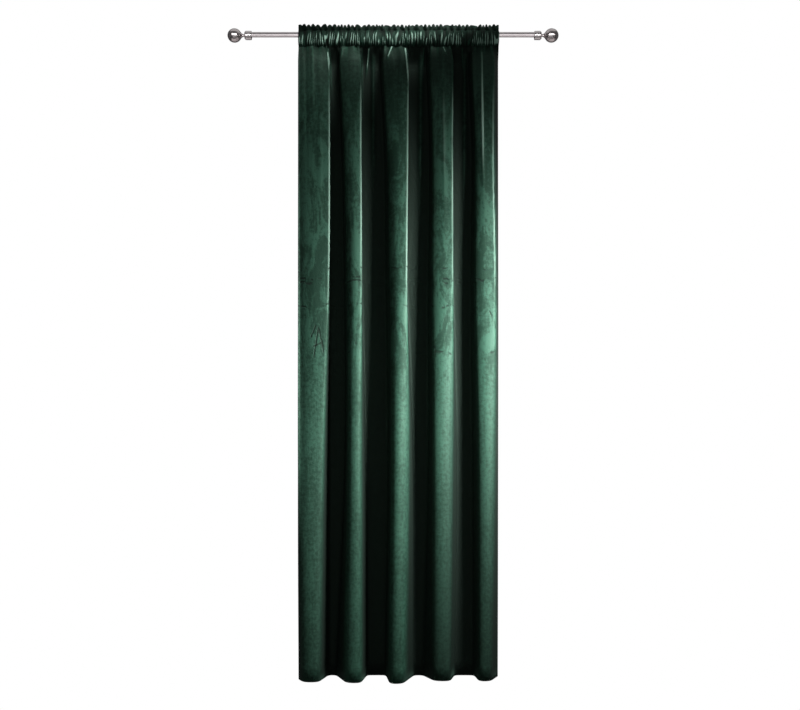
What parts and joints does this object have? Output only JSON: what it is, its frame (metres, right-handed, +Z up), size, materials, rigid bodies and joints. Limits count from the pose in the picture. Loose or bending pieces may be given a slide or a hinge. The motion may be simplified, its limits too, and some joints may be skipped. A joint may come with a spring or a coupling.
{
  "type": "velvet drape, without a tieback, on a curtain rod with ball finials",
  "caption": "Dark green velvet drape hanging in deep folds from a gathered rod pocket with a frill, on a thin brushed metal curtain rod with ball finials.",
  "frame": {"origin": "on the rod's axis, half-way along the rod", "axes": "+X along the rod to the right as seen from the front, +Y back towards the wall, +Z up; the drape hangs towards -Z and its front faces -Y"},
  "size_m": [1.3636, 0.1242, 2.7001],
  "materials": {
    "velvet": "short pile velvet with a soft sheen",
    "rod_metal": "satin",
    "cap_metal": "satin",
    "ball_metal": "brushed"
  },
  "bodies": {
    "root": {"drape": "velvet", "rod": "rod_metal", "end_cap_left": "cap_metal", "end_cap_right": "cap_metal", "ball_left": "ball_metal", "ball_right": "ball_metal"}
  },
  "joints": []
}
